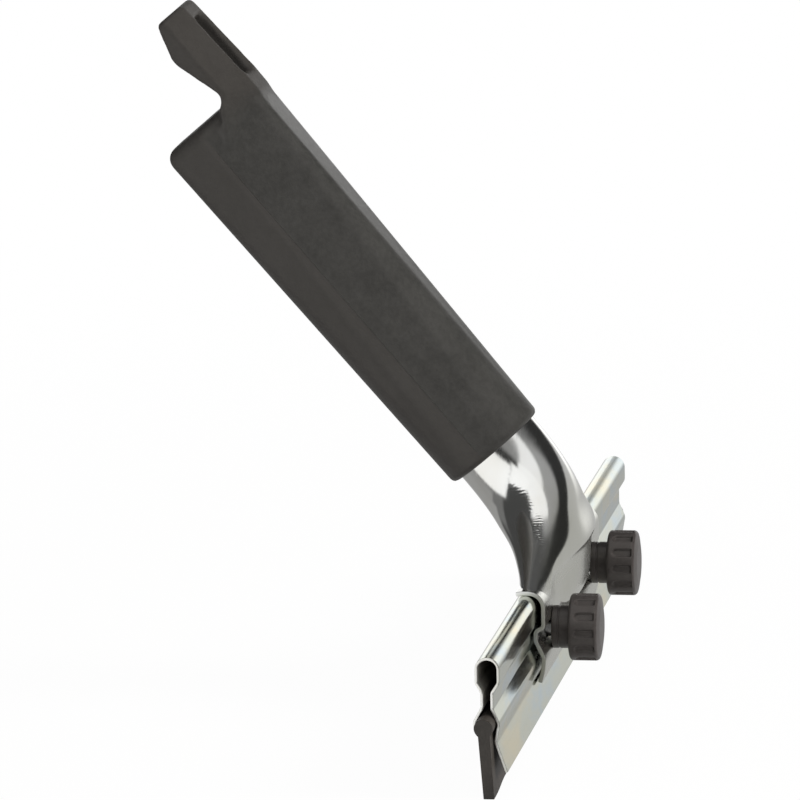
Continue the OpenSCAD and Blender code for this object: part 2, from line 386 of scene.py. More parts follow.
class Value:
    """A shader socket that takes part in Python arithmetic."""

    def __init__(self, graph: "Graph", socket: Socket) -> None:
        """Wraps a socket of a graph."""
        self.graph = graph
        self.socket = socket

    def maths(self, operation: str, *others: Any) -> "Value":
        """Result of a Math node on this value and others."""
        return self.graph.maths(operation, self, *others)

    def __add__(self, other: Any) -> "Value":
        """This value plus another."""
        return self.maths("ADD", other)

    __radd__ = __add__

    def __sub__(self, other: Any) -> "Value":
        """This value less another."""
        return self.maths("SUBTRACT", other)

    def __rsub__(self, other: Any) -> "Value":
        """Another value less this."""
        return self.graph.maths("SUBTRACT", other, self)

    def __mul__(self, other: Any) -> "Value":
        """This value times another."""
        return self.maths("MULTIPLY", other)

    __rmul__ = __mul__

    def __truediv__(self, other: Any) -> "Value":
        """This value divided by another."""
        return self.maths("DIVIDE", other)

    def __pow__(self, power: Any) -> "Value":
        """This value to a power."""
        return self.maths("POWER", power)

    def __abs__(self) -> "Value":
        """This value without its sign."""
        return self.maths("ABSOLUTE")

    def between(self, low: float, high: float, soft: float) -> "Value":
        """Mask that is 1 from low to high and fades to 0 over the soft distance outside them."""
        return self.rising(low - soft, low) * (1.0 - self.rising(high, high + soft))

    def rising(self, low: float, high: float) -> "Value":
        """Mask that goes softly from 0 to 1.

        Args:
            low: Where it leaves 0.
            high: Where it reaches 1.

        Returns:
            The mask.
        """
        ends = {"Value": self, "From Min": low, "From Max": high}
        made = self.graph.node("ShaderNodeMapRange", {"interpolation_type": "SMOOTHSTEP"}, ends)
        return Value(self.graph, made.outputs["Result"])


class Graph:
    """The nodes of one material or world."""

    def __init__(self, tree: bpy.types.NodeTree) -> None:
        """Empties a node tree and takes it over."""
        self.tree = tree
        tree.nodes.clear()

    def node(self, kind: str, settings: dict[str, Any] | None = None, inputs: dict | None = None) -> Any:
        """Adds a node.

        Args:
            kind: Blender's name of the node's type.
            settings: Its properties.
            inputs: Values or links of its sockets, by name or number.

        Returns:
            The node.
        """
        made = self.tree.nodes.new(kind)
        for key, value in (settings or {}).items():
            setattr(made, key, value)
        for key, value in (inputs or {}).items():
            value = value.socket if isinstance(value, Value) else value
            if isinstance(value, Socket):
                self.tree.links.new(value, made.inputs[key])
            else:
                made.inputs[key].default_value = value
        return made

    def maths(self, operation: str, *values: Any) -> Value:
        """Result of a Math node on values or numbers."""
        made = self.node("ShaderNodeMath", {"operation": operation}, dict(enumerate(values)))
        return Value(self, made.outputs[0])

    @cached_property
    def here(self) -> Socket:
        """Object coordinates, in metres."""
        return self.node("ShaderNodeTexCoord").outputs["Object"]

    def split(self, vector: Socket) -> tuple[Value, Value, Value]:
        """The three numbers of a vector."""
        made = self.node("ShaderNodeSeparateXYZ", inputs={0: vector})
        return tuple(Value(self, s) for s in made.outputs)

    def stretched(self, *scale: float) -> Socket:
        """Object coordinates with their three numbers scaled."""
        return self.node("ShaderNodeMapping", inputs={"Vector": self.here, "Scale": scale}).outputs[0]

    def noise(
        self, scale: float, detail: float = 2.0, rough: float = 0.5, at: Socket | None = None
    ) -> Value:
        """Cloudy noise about 0.5.

        Args:
            scale: Number of clouds to a metre.
            detail: Number of finer layers.
            rough: Strength of the finer layers.
            at: Coordinates that it is read at, if not object coordinates.

        Returns:
            The noise.
        """
        inputs = {"Vector": at or self.here, "Scale": scale, "Detail": detail, "Roughness": rough}
        return Value(self, self.node("ShaderNodeTexNoise", inputs=inputs).outputs[0])

    def mix(self, share: Any, first: Any, second: Any) -> Socket:
        """Colour that goes from the first to the second as share goes from 0 to 1."""
        made = self.node("ShaderNodeMix", {"data_type": "RGBA"}, {0: share, 6: first, 7: second})
        return made.outputs[2]

    def bump(self, height: Value, depth: float) -> Socket:
        """Normal of a relief whose height from 0 to 1 is depth metres."""
        inputs = {"Height": height, "Distance": depth, "Strength": 1.0}
        return self.node("ShaderNodeBump", inputs=inputs).outputs[0]

    def surface(self, **sockets: Any) -> None:
        """Ends a material in a Principled shader.

        Args:
            **sockets: Values or links of its sockets, with _ for the spaces in their names.
        """
        inputs = {key.replace("_", " "): value for key, value in sockets.items()}
        shader = self.node("ShaderNodeBsdfPrincipled", inputs=inputs)
        self.node("ShaderNodeOutputMaterial", inputs={"Surface": shader.outputs[0]})


@dataclass(frozen=True)
class Finish:
    """A procedural material."""

    name: str

    def material(self) -> Material:
        """Makes the material.

        Returns:
            The material.
        """
        material = bpy.data.materials.new(self.name)
        material.use_nodes = True
        graph = Graph(material.node_tree)
        self.dress(graph)
        return material

    def dress(self, g: Graph) -> None:
        """Fills the material's graph, which each finish does its own way."""
        raise NotImplementedError


@dataclass(frozen=True)
class MouldedPlastic(Finish):
    """Dark moulded plastic with a fine mottled grain."""

    dark: Colour
    pale: Colour
    rough: float
    grain: float
    grain_depth: float
    sheen: Colour = (1.0, 0.95, 0.89, 1.0)

    def colour(self, g: Graph, tone: Value) -> Socket:
        """Colour of the plastic, dark where tone is 0 and pale where it is 1."""
        return g.mix(tone, self.dark, self.pale)

    def relief(self, g: Graph) -> Any:
        """Height of the marks that the mould leaves, from 0 to 1."""
        return 0.0

    def polish(self, g: Graph) -> Any:
        """How far use has polished the plastic, from 0 to 1, or less than 0 where it is duller."""
        return 0.0

    def dress(self, g: Graph) -> None:
        """Mixes the grain, the rubbed places and the mould's marks.

        Args:
            g: Graph of the material.
        """
        cloud = g.noise(70.0, 3.0, 0.6)
        grain = g.noise(self.grain, 3.0, 0.65)
        speck = g.noise(self.grain * 0.4, 3.0, 0.6)
        tone = cloud.rising(0.3, 0.7) * 0.3 + grain.rising(0.3, 0.7) * 0.4 + speck.rising(0.3, 0.7) * 0.3
        rub = g.noise(25.0, 4.0, 0.7).rising(0.5, 0.8)
        polish = self.polish(g)
        height = (grain + speck * 0.3) * (1.0 - polish * 0.5) + self.relief(g) * 1.6
        g.surface(
            Base_Color=self.colour(g, tone),
            Roughness=self.rough + (grain - 0.5) * 0.2 - rub * 0.06 - polish * 0.08,
            Specular_IOR_Level=0.5,
            Specular_Tint=self.sheen,
            Normal=g.bump(height, self.grain_depth),
        )


@dataclass(frozen=True)
class GripPlastic(MouldedPlastic):
    """The grip's plastic, with a parting line along each side, a browner back and a worn front."""

    name: str = "grip_plastic"
    dark: Colour = (0.03, 0.03, 0.0285, 1.0)
    pale: Colour = (0.053, 0.0525, 0.05, 1.0)
    rough: float = 0.46
    grain: float = 900.0
    grain_depth: float = 0.00005
    brown: Colour = (0.041, 0.036, 0.0325, 1.0)
    brown_back: float = 0.5
    brown_hook: float = 0.55
    line_at: float = 1.7
    line_half: float = 0.16
    line_from: float = 5.0
    line_to: float = 104.0
    side_from: float = 9.5
    worn_front: float = -14.2
    worn_from: float = 25.0
    worn_full: float = 112.0
    worn_end: float = 109.0
    worn_arch: float = 0.07

    @staticmethod
    def place(g: Graph) -> tuple[Value, Value, Value]:
        """Where a point lies in grip space.

        Args:
            g: Graph of the material.

        Returns:
            Sideways, backward and upward distances in millimetres.
        """
        x, y, z = g.split(g.here)
        middle = LAYOUT.at(*LAYOUT.mouth)
        y, z = y / MM - middle.y, z / MM - middle.z
        c, s = math.cos(LAYOUT.lean), math.sin(LAYOUT.lean)
        return abs(x) / MM, y * c - z * s, y * s + z * c

    def colour(self, g: Graph, tone: Value) -> Socket:
        """Colour of the plastic, browner behind the parting line and on the hook.

        Args:
            g: Graph of the material.
            tone: How pale the plastic is, from 0 to 1.

        Returns:
            The colour.
        """
        _, back, up = self.place(g)
        behind = back.rising(self.line_at - 0.3, self.line_at + 0.3) * self.brown_back
        hook = up.rising(self.worn_end - 2.0, self.worn_end + 6.0) * self.brown_hook
        return g.mix(behind.maths("MAXIMUM", hook), super().colour(g, tone), self.brown)

    def relief(self, g: Graph) -> Value:
        """Height of the parting line.

        Args:
            g: Graph of the material.

        Returns:
            The height, from 0 to 1.
        """
        side, back, up = self.place(g)
        line = 1.0 - abs(back - self.line_at).rising(self.line_half * 0.3, self.line_half)
        on_side = side.rising(self.side_from, self.side_from + 1.5)
        return line * on_side * up.between(self.line_from, self.line_to, 3.0)

    def polish(self, g: Graph) -> Value:
        """Polish of the front face, most below the hook, and dullness of the hook.

        Args:
            g: Graph of the material.

        Returns:
            The polish, from -1 to 1.
        """
        side, back, up = self.place(g)
        end = up + side * side * self.worn_arch
        front = 1.0 - back.rising(self.worn_front - 0.5, self.worn_front + 0.3)
        worn = front * (1.0 - end.rising(self.worn_end - 1.5, self.worn_end))
        dull = up.rising(self.worn_end, self.worn_end + 2.0)
        return worn * up.rising(self.worn_from, self.worn_full) - dull


@dataclass(frozen=True)
class PlatedSteel(Finish):
    """Bright plated steel with drawing marks and fine scratches."""

    name: str = "plated_steel"
    bright: Colour = (0.95, 0.955, 0.935, 1.0)
    warm: Colour = (0.88, 0.87, 0.82, 1.0)
    satin: Colour = (0.73, 0.73, 0.655, 1.0)
    rough: float = 0.13
    front_y: tuple[float, float] = (-0.004, 0.0)
    dull_z: tuple[float, float] = (0.044, 0.062)
    matt_z: tuple[float, float] = (0.032, 0.044)
    ripple: float = 0.95
    ridge_y: float = 0.2
    ridge_rise: float = 10.0
    ridge_run: float = 5.0
    ridge_from: float = 13.0
    ridge_to: float = 30.0
    ridge_above: tuple[float, float] = (38.0, 40.0)
    ridge_edge: tuple[float, float] = (0.2, 1.9)

    def ripples(self, g: Graph) -> Value:
        """Height of the fine ripples that bending has left where the neck spreads.

        Args:
            g: Graph of the material.

        Returns:
            The height, from -1 to 1 and 0 away from the ripples.
        """
        x, y, z = (value / MM for value in g.split(g.here))
        x = abs(x)
        ridge = self.ridge_y + self.ridge_rise * ((self.ridge_from - x) / self.ridge_run).maths("EXPONENT")
        near = 1.0 - abs(y - ridge).rising(*self.ridge_edge)
        patch = near * x.between(self.ridge_from, self.ridge_to, 2.0) * z.rising(*self.ridge_above)
        waver = g.noise(260.0, 3.0, 0.6)
        wave = ((0.87 * x - 0.45 * z) * (2.0 * math.pi / self.ripple) + waver * 11.0).maths("SINE")
        return wave * patch * waver.rising(0.4, 0.6)

    def dress(self, g: Graph) -> None:
        """Mixes the plating's clouds, scratches and pits, and dulls its low front.

        Args:
            g: Graph of the material.
        """
        cloud = g.noise(45.0, 3.0, 0.55)
        scratch = g.noise(420.0, 3.0, 0.6, g.stretched(1.0, 6.0, 0.25))
        pit = g.noise(900.0, 2.0).rising(0.64, 0.75)
        _, y, z = g.split(g.here)
        front = (1.0 - y.rising(*self.front_y)) * (0.6 + 0.6 * cloud)
        dull = front * (1.0 - z.rising(*self.dull_z))
        matt = front * (1.0 - z.rising(*self.matt_z))
        marks = scratch.rising(0.52, 0.7) * 0.06 + pit * 0.03
        g.surface(
            Base_Color=g.mix(dull, g.mix(cloud.rising(0.35, 0.7), self.bright, self.warm), self.satin),
            Metallic=1.0,
            Roughness=self.rough + marks + (cloud - 0.5) * 0.06 + matt * 0.16,
            Normal=g.bump(scratch * 0.3 + cloud * 2.0 + self.ripples(g), 0.00002),
        )


@dataclass(frozen=True)
class RailSteel(Finish):
    """Passivated sheet steel with pale green, blue and yellow tints."""

    name: str = "rail_steel"
    grey: Colour = (0.59, 0.615, 0.51, 1.0)
    blue: Colour = (0.5, 0.6, 0.64, 1.0)
    yellow: Colour = (0.72, 0.65, 0.44, 1.0)
    rough: float = 0.13

    def dress(self, g: Graph) -> None:
        """Mixes the tints and the rolling lines.

        Args:
            g: Graph of the material.
        """
        drawn = g.stretched(0.35, 1.0, 1.0)
        cool = g.noise(110.0, 3.0, 0.6, drawn).rising(0.45, 0.7)
        warm = g.noise(70.0, 3.0, 0.6, drawn).rising(0.48, 0.7)
        line = g.noise(1500.0, 3.0, 0.6, g.stretched(0.02, 1.0, 1.0))
        spot = g.noise(500.0, 3.0).rising(0.6, 0.75)
        g.surface(
            Base_Color=g.mix(warm, g.mix(cool, self.grey, self.blue), self.yellow),
            Metallic=1.0,
            Roughness=self.rough + (line - 0.5) * 0.12 + spot * 0.03,
            Normal=g.bump(line * 0.4, 0.00002),
        )


@dataclass(frozen=True)
class ShadedSteel(Finish):
    """Painted shade for the inside of the rail: a darker, rough copy of the steel whose dark colour stands
    in for the shade inside the channel.
    """

    name: str = "rail_inside_painted_shade"
    dark: Colour = (0.28, 0.276, 0.25, 1.0)
    pale: Colour = (0.44, 0.43, 0.39, 1.0)

    def dress(self, g: Graph) -> None:
        """Mixes two tones in clouds.

        Args:
            g: Graph of the material.
        """
        cloud = g.noise(160.0, 3.0, 0.6)
        colour = g.mix(cloud, self.dark, self.pale)
        g.surface(Base_Color=colour, Metallic=0.3, Roughness=0.7 + (cloud - 0.5) * 0.2)


@dataclass(frozen=True)
class BladeRubber(Finish):
    """Dark brown-grey rubber with a dusty bloom."""

    name: str = "blade_rubber"
    dark: Colour = (0.029, 0.025, 0.021, 1.0)
    pale: Colour = (0.048, 0.042, 0.036, 1.0)

    def dress(self, g: Graph) -> None:
        """Mixes the bloom and the grain.

        Args:
            g: Graph of the material.
        """
        cloud = g.noise(140.0, 4.0, 0.6, g.stretched(0.3, 1.0, 1.0))
        grain = g.noise(2200.0, 2.0)
        g.surface(
            Base_Color=g.mix(cloud.rising(0.3, 0.75), self.dark, self.pale),
            Roughness=0.56 + (grain - 0.5) * 0.2,
            Specular_IOR_Level=0.45,
            Normal=g.bump(grain, 0.00003),
        )


@dataclass(frozen=True)
class TurnedMetal(Finish):
    """Small turned fittings, such as bolts and inserts."""

    bright: Colour
    dull: Colour
    rough: float

    def dress(self, g: Graph) -> None:
        """Mixes two tones and fine tool marks.

        Args:
            g: Graph of the material.
        """
        cloud = g.noise(300.0, 3.0, 0.6)
        mark = g.noise(2500.0, 2.0)
        g.surface(
            Base_Color=g.mix(cloud.rising(0.35, 0.7), self.bright, self.dull),
            Metallic=1.0,
            Roughness=self.rough + (mark - 0.5) * 0.15,
            Normal=g.bump(mark, 0.00002),
        )


@dataclass
class BentSheet:
    """A sheet of steel bent along a line and cut to a length along the rail."""

    name: str
    line: tuple[Bend, ...]
    length: float
    thickness: float
    edge_r: float = 0.12
    crease: float = 25.0

    def sheet(self, finishes: Sequence[Material]) -> Piece:
        """Bends, thickens and drills the sheet.

        Args:
            finishes: Materials of the outer face, the inner face and the cut edges.

        Returns:
            The finished sheet.
        """
        bm = bmesh.new()
        bent_wire(bm, self.line, lambda forward, height: LAYOUT.at(forward, height, -self.length / 2.0))
        grown = bmesh.ops.extrude_edge_only(bm, edges=bm.edges[:])["geom"]
        far = [v for v in grown if isinstance(v, Vert)]
        bmesh.ops.translate(bm, vec=Axle.ALONG.value * self.length, verts=far)
        face_up(bm)
        obj = new_object(self.name, bm)
        for finish in finishes:
            obj.data.materials.append(finish)
        places = {"material_offset": 1, "material_offset_rim": 2}
        modify(obj, "SOLIDIFY", thickness=self.thickness * MM, offset=0.0, use_even_offset=True, **places)
        settle(obj)
        drill_for_bolts(obj)
        break_edges(obj, self.edge_r, clamp=False)
        shade(obj, self.crease)
        firm(obj)
        return obj


@dataclass
class Rail(BentSheet):
    """The folded channel that holds the blade."""

    name: str = "rail_sheet"
    length: float = 250.0
    thickness: float = 0.7
    edge_rough: float = 0.25
    line: tuple[Bend, ...] = bends(
        (4.55, 5.7), (1.9, 13.3, 1.5), (2.75, 17.9, 2.5), (1.1, 21.7, 1.5), (1.1, 25.7, 1.5),
        (2.75, 28.2, 1.5), (2.75, 34.35, 2.7), (-2.75, 34.35, 2.7), (-2.75, 28.2, 1.5),
        (-1.4, 25.8, 1.5), (-1.4, 21.9, 1.5), (-3.6, 17.9, 2.2), (-2.3, 14.7),
    )

    def build(self) -> None:
        """Makes the rail and sets it in the frame.

        Its outer face is tinted, its inside takes a darker steel that paints the shade inside the channel,
        and its cut edges are bare.
        """
        edge = PlatedSteel("rail_edge", rough=self.edge_rough)
        # The inner faces take the darker inside steel, painted shade for the inside of the channel.
        finishes = [finish.material() for finish in (RailSteel(), ShadedSteel(), edge)]
        hand_over(self.sheet(finishes), "frame", "rail")


@dataclass
class Saddle(BentSheet):
    """The pressed jaw that hooks over the rail's top and runs down its front."""

    name: str = "saddle_jaw"
    length: float = 108.0
    thickness: float = 1.1
    edge_r: float = 0.2
    edge_rough: float = 0.42
    line: tuple[Bend, ...] = bends(
        (-2.5, 35.0), (-0.833, 35.25, 2.0), (4.45, 35.25, 3.8), (4.45, 26.4, 1.2),
        (2.45, 25.5, 1.2), (2.4, 22.9, 2.4), (4.55, 18.4, 2.4), (4.2, 15.2, 6.0), (3.4, 12.1),
    )

    def build(self, finish: Material) -> None:
        """Makes the saddle and sets it in the frame.

        Args:
            finish: Material of its two faces.
        """
        edge = PlatedSteel("sheared_steel", rough=self.edge_rough).material()
        hand_over(self.sheet([finish, finish, edge]), "frame", "saddle")


@dataclass
class Neck:
    """The plated tube that leaves the grip round and spreads over the saddle.

    A place t on its way down goes from 0 at the grip to 1 at the rail. An angle round the tube has the
    front at a quarter turn.
    """

    radius: float = 12.1
    wall: float = 1.2
    thinned: float = 0.7
    thin_from: float = 0.8
    stem: float = 88.0
    lead: float = 14.0
    low_forward: float = -0.9
    low_rise: float = 9.3
    end_forward: float = 1.0
    end_rise: float = -2.0
    foot_half: float = 63.0
    foot_depth: float = 3.5
    flare_power: float = 2.5
    flatten_power: float = 3.3
    blunt: float = 0.4
    land_half: float = 53.5
    land_drop: float = 3.0
    land_side: float = 0.62
    land_front: float = 0.8
    land_pace: float = 0.9
    front_edge: float = 0.6
    belly: float = 3.75
    belly_half: float = 36.0
    belly_power: float = 1.6
    belly_drop: float = 5.4
    belly_top: float = 50.0
    belly_full: float = 34.0
    belly_turn: float = 30.5
    belly_least: float = 0.5
    tuck: float = 0.8
    tuck_from: float = 0.5
    tuck_run: float = 0.3
    tuck_to: float = 0.85
    sink: float = 0.05
    dip: float = 0.4
    crown_r: float = 4.35
    crown_forward: float = 0.65
    rings: int = 120
    around: int = 256
    halvings: int = 40
    crease: float = 50.0

    def axis_point(self, t: float) -> tuple[float, float]:
        """Point of the tube's middle line.

        Args:
            t: Place on its way down.

        Returns:
            Forward distance and height.
        """
        start = LAYOUT.mouth
        lean = LAYOUT.lean
        curve = (
            start,
            (start[0] + self.lead * math.sin(lean), start[1] - self.lead * math.cos(lean)),
            (self.low_forward, LAYOUT.rail_top + self.low_rise),
            (self.end_forward, LAYOUT.rail_top + self.end_rise),
        )
        share = ((1 - t) ** 3, 3 * t * (1 - t) ** 2, 3 * t * t * (1 - t), t**3)
        return tuple(sum(s * p[i] for s, p in zip(share, curve)) for i in (0, 1))

    def tube_point(self, t: float, turn: float) -> Vector:
        """Point of the plain flared tube.

        Args:
            t: Place on its way down.
            turn: Angle round the tube.

        Returns:
            The point.
        """
        forward, height = self.axis_point(t)
        spread = t**self.flare_power
        half = self.radius + (self.foot_half - self.radius) * spread
        depth = self.radius + (self.foot_depth - self.radius) * t**self.flatten_power
        tilt = LAYOUT.lean * (1.0 - t)
        side = math.copysign(abs(math.cos(turn)) ** (1.0 - self.blunt * spread), math.cos(turn))
        out = depth * math.sin(turn)
        return LAYOUT.at(forward + out * math.cos(tilt), height + out * math.sin(tilt), half * side)

    def bell(self, x: float) -> float:
        """How far the belly of the foot has risen at a place along the rail, from 0 to 1."""
        return max(0.0, 1.0 - (x / self.belly_half) ** 2) ** self.belly_power

    def landing(self, turn: float) -> tuple[Vector, Vector]:
        """Where the front of the tube's wall lands on the saddle.

        Args:
            turn: Angle round the tube, in its front half.

        Returns:
            The point on the saddle's outer face, and the direction in which the wall runs into it.
        """
        front, side = math.sin(turn), math.cos(turn)
        x = math.copysign(self.land_half * abs(side) ** (1.0 - self.blunt), side)
        radius = self.crown_r - self.sink
        quarter = radius * math.pi / 2.0
        run = front * (quarter + self.land_drop + self.belly_drop * self.bell(x))
        arc = min(run, quarter) / radius
        middle = LAYOUT.rail_top + LAYOUT.saddle_crown - self.crown_r
        height = middle + radius * math.cos(arc) - max(0.0, run - quarter)
        point = LAYOUT.at(self.crown_forward + radius * math.sin(arc), height, x)
        down = Axle.FORWARD.value * math.cos(arc) - Axle.UP.value * math.sin(arc)
        return point, (Axle.ALONG.value * side + down * front).normalized()

    def wall_point(self, t: float, turn: float) -> Vector:
        """Point of the tube once the front of its foot has been dressed down on to the saddle.

        Args:
            t: Place on its way down.
            turn: Angle round the tube.

        Returns:
            The point.
        """
        plain = self.tube_point(t, turn)
        front = math.sin(turn)
        if front <= 0.0:
            inner = smoother((t - self.tuck_from) / self.tuck_run)
            inner *= 1.0 - smoother((t - self.tuck_to) / (1.0 - self.tuck_to))
            return plain + Axle.FORWARD.value * self.tuck * inner * smoother(-front)
        weight = smoother(front / self.front_edge)
        start = self.land_side + (self.land_front - self.land_side) * smoother(front)
        point, way = self.landing(turn)
        speed = (point - self.tube_point(self.land_pace, turn)).length / (1.0 - self.land_pace)
        landed = plain.lerp(point - way * speed * (1.0 - t), smoother((t - start) / (1.0 - start)) * weight)
        rise = smoother((self.belly_top - landed.z) / (self.belly_top - self.belly_full))
        under = max(0.0, self.belly_turn - landed.z) / max(self.belly_least, self.belly_turn - point.z)
        out = self.belly * self.bell(landed.x) * rise * math.sqrt(max(0.0, 1.0 - under**2)) * weight
        return landed + Axle.FORWARD.value * out

    def depth(self, point: Vector) -> float:
        """How far a point lies under the saddle's outer face.

        Args:
            point: The point.

        Returns:
            The depth, less than 0 outside.
        """
        forward, top = LAYOUT.rail_y - point.y, LAYOUT.rail_top + LAYOUT.saddle_crown
        if forward < self.crown_forward:
            return top - point.z
        if point.z < top - self.crown_r:
            return self.crown_forward + self.crown_r - forward
        return self.crown_r - math.hypot(forward - self.crown_forward, point.z - top + self.crown_r)

    def end(self, turn: float) -> float:
        """Finds where the wall has dipped into the saddle.

        Args:
            turn: Angle round the tube.

        Returns:
            The place on the way down.
        """
        low, high = self.land_side, 1.0
        if self.depth(self.wall_point(high, turn)) <= self.dip:
            return high
        for _ in range(self.halvings):
            middle = (low + high) / 2.0
            if self.depth(self.wall_point(middle, turn)) > self.dip:
                high = middle
            else:
                low = middle
        return high

    def build(self, finish: Material) -> None:
        """Draws the tube ring by ring, gives it its wall and sets it in the frame.

        Args:
            finish: Material of the tube.
        """
        bm = bmesh.new()
        wall = bm.verts.layers.deform.verify()
        ring = bmesh.ops.create_circle(bm, segments=self.around, radius=self.radius)["verts"]
        turns = [math.atan2(v.co.y, v.co.x) for v in ring]
        ends = [self.end(turn) for turn in turns]
        up = Vector((0.0, math.sin(LAYOUT.lean), math.cos(LAYOUT.lean)))
        for v, turn in zip(ring, turns):
            v.co = self.wall_point(0.0, turn) + up * self.stem
            v[wall][0] = 1.0
        for i in range(self.rings + 1):
            ring = self.next_ring(bm, ring)
            for v, turn, end in zip(ring, turns, ends):
                t = end * i / self.rings
                v.co = self.wall_point(t, turn)
                v[wall][0] = 1.0 - self.thinned * smoother((t - self.thin_from) / (1.0 - self.thin_from))
        face_up(bm)
        obj = new_object("neck_tube", bm)
        obj.vertex_groups.new(name="wall")
        obj.data.materials.append(finish)
        modify(obj, "SOLIDIFY", thickness=self.wall * MM, offset=-1.0, vertex_group="wall")
        settle(obj)
        shade(obj, self.crease)
        hand_over(obj, "frame", "neck")

    @staticmethod
    def next_ring(bm: Mesh, ring: Sequence[Vert]) -> list[Vert]:
        """Draws a ring of vertices on.

        Args:
            bm: Mesh of the tube.
            ring: The last ring so far.

        Returns:
            The new ring, in the same order.
        """
        order = {v: i for i, v in enumerate(ring)}
        edges = {e for v in ring for e in v.link_edges if e.other_vert(v) in order}
        grown = bmesh.ops.extrude_edge_only(bm, edges=list(edges))["geom"]
        fresh = [v for v in grown if isinstance(v, Vert)]
        mates = {v: next(e.other_vert(v) for e in v.link_edges if e.other_vert(v) in order) for v in fresh}
        return sorted(fresh, key=lambda v: order[mates[v]])


@dataclass(frozen=True)
class BarSection:
    """One section of the bar that the hook is cut from, at a distance past the grip's shoulder."""

    past: float
    front: float
    inset: float
    widest: float


@dataclass
class Grip:
    """The moulded handle with its hanging hook, whose gap is measured from the shoulder."""

    length: float = 113.5
    mouth_rings: tuple[tuple[float, float], ...] = ((0.0, 13.4), (0.3, 14.0), (1.0, 14.4), (3.0, 14.4))
    mouth_shift: float = 0.4
    mouth_sides: int = 42
    width: float = 28.6
    front: float = 15.4
    rear: float = 15.4
    edge_r: float = 3.0
    edge_shares: tuple[float, ...] = (0.4, 1.0, 1.0, 0.4, 0.8, 0.8)
    front_flat: float = 13.0
    rear_flat: float = 11.0
    wide_back: float = 1.7
    heel_r: float = 3.3
    heel_steps: int = 4
    hook_rear: float = 13.4
    hook_bar: tuple[BarSection, ...] = (
        BarSection(-13.0, 14.8, 0.7, 1.7),
        BarSection(-3.0, 16.3, 0.5, -4.4),
        BarSection(3.0, 16.1, 0.2, -8.8),
        BarSection(26.0, 15.0, 0.2, -8.8),
        BarSection(27.0, 15.0, 0.9, -8.8),
    )
    gap_half: float = 19.3
    gap_line: tuple[Bend, ...] = bends(
        (30.8, -3.3), (-4.0, -3.3), (-5.6, 0.1), (-7.2, 0.8), (-8.2, 2.0), (-8.4, 3.4),
        (-4.4, 16.875, 5.0), (-8.2, 28.0), (30.8, 28.0),
    )
    recess_at: float = 12.69
    recess_w: float = 11.0
    recess_len: float = 19.0
    recess_deep: float = 4.0
    recess_r: float = 2.5
    recess_lip: float = 0.8
    bore_r: float = 12.15
    bore_len: float = 89.0
    bore_lead: float = 1.0
    grain: float = 0.5
    soften: int = 16
    crease: float = 50.0

    def section(
        self, bm: Mesh, z: float, front: float, rear: float, inset: float, widest: float
    ) -> list[Edge]:
        """Adds one six-sided section with round edges.

        Args:
            bm: Mesh that takes it.
            z: Place along the grip.
            front: Reach of the front face.
            rear: Reach of the back face.
            inset: How much the section is drawn in all round.
            widest: How far behind the grip's axis the section is widest.

        Returns:
            Its edges.
        """
        r = self.edge_r - inset
        wide = self.width / 2.0 - self.edge_r
        middles = [
            Vector((wide, widest, z)),
            Vector((self.rear_flat / 2.0, rear - self.edge_r, z)),
            Vector((-self.rear_flat / 2.0, rear - self.edge_r, z)),
            Vector((-wide, widest, z)),
            Vector((-self.front_flat / 2.0, self.edge_r - front, z)),
            Vector((self.front_flat / 2.0, self.edge_r - front, z)),
        ]
        return rounded_loop(bm, self.outset(middles, r), [r * share for share in self.edge_shares])

    @staticmethod
    def outset(corners: Sequence[Vector], distance: float) -> list[Vector]:
        """Moves the corners of a convex loop out.

        Args:
            corners: Corners in order.
            distance: How far the loop's sides shift.

        Returns:
            The moved corners.
        """
        moved = []
        for i, corner in enumerate(corners):
            before = (corners[i - 1] - corner).normalized()
            after = (corners[(i + 1) % len(corners)] - corner).normalized()
            out = -(before + after).normalized()
            moved.append(corner + out * distance / math.sin(before.angle(after) / 2.0))
        return moved

    def round_section(self, bm: Mesh, z: float, radius: float) -> list[Edge]:
        """Adds one round section.

        Args:
            bm: Mesh that takes it.
            z: Place along the grip.
            radius: Radius of the section.

        Returns:
            Its edges.
        """
        old = set(bm.edges)
        middle = Matrix.Translation((0.0, self.mouth_shift, z))
        bmesh.ops.create_circle(bm, segments=self.mouth_sides, radius=radius, matrix=middle)
        return [e for e in bm.edges if e not in old]

    def loft(self, name: str, bm: Mesh, loops: Sequence[list[Edge]]) -> Piece:
        """Joins sections into a closed solid in grip space.

        Args:
            name: Name of the solid.
            bm: Mesh that holds the sections.
            loops: Edges of each section, from the lowest up.

        Returns:
            The solid.
        """
        for low, high in zip(loops, loops[1:]):
            bmesh.ops.bridge_loops(bm, edges=low + high)
        bmesh.ops.edgeloop_fill(bm, edges=loops[0])
        bmesh.ops.edgeloop_fill(bm, edges=loops[-1])
        return self.placed(name, bm)

    @staticmethod
    def placed(name: str, bm: Mesh) -> Piece:
        """Closes a solid made in grip space and brings it to the row frame.

        Args:
            name: Name of the solid.
            bm: Mesh of the solid.

        Returns:
            The solid.
        """
        close_up(bm)
        bmesh.ops.transform(bm, matrix=LAYOUT.grip_space, verts=bm.verts[:])
        return new_object(name, bm)

    def handle(self) -> Piece:
        """Makes the grip up to its shoulder.

        Returns:
            The solid.
        """
        bm = bmesh.new()
        loops = [self.round_section(bm, z, radius) for z, radius in self.mouth_rings]
        for step in range(self.heel_steps + 1):
            a = math.radians(90.0 / self.heel_steps * step)
            rise = self.heel_r * (1.0 - math.sin(a))
            inset = self.heel_r * (1.0 - math.cos(a))
            loops.append(self.section(bm, self.length - rise, self.front, self.rear, inset, self.wide_back))
        return self.loft("grip_handle", bm, loops)

    def hook_blank(self) -> Piece:
        """Makes the bar that the hook is cut from.

        Returns:
            The solid.
        """
        bm = bmesh.new()
        loops = [
            self.section(bm, self.length + bar.past, bar.front, self.hook_rear, bar.inset, bar.widest)
            for bar in self.hook_bar
        ]
        return self.loft("hook_blank", bm, loops)

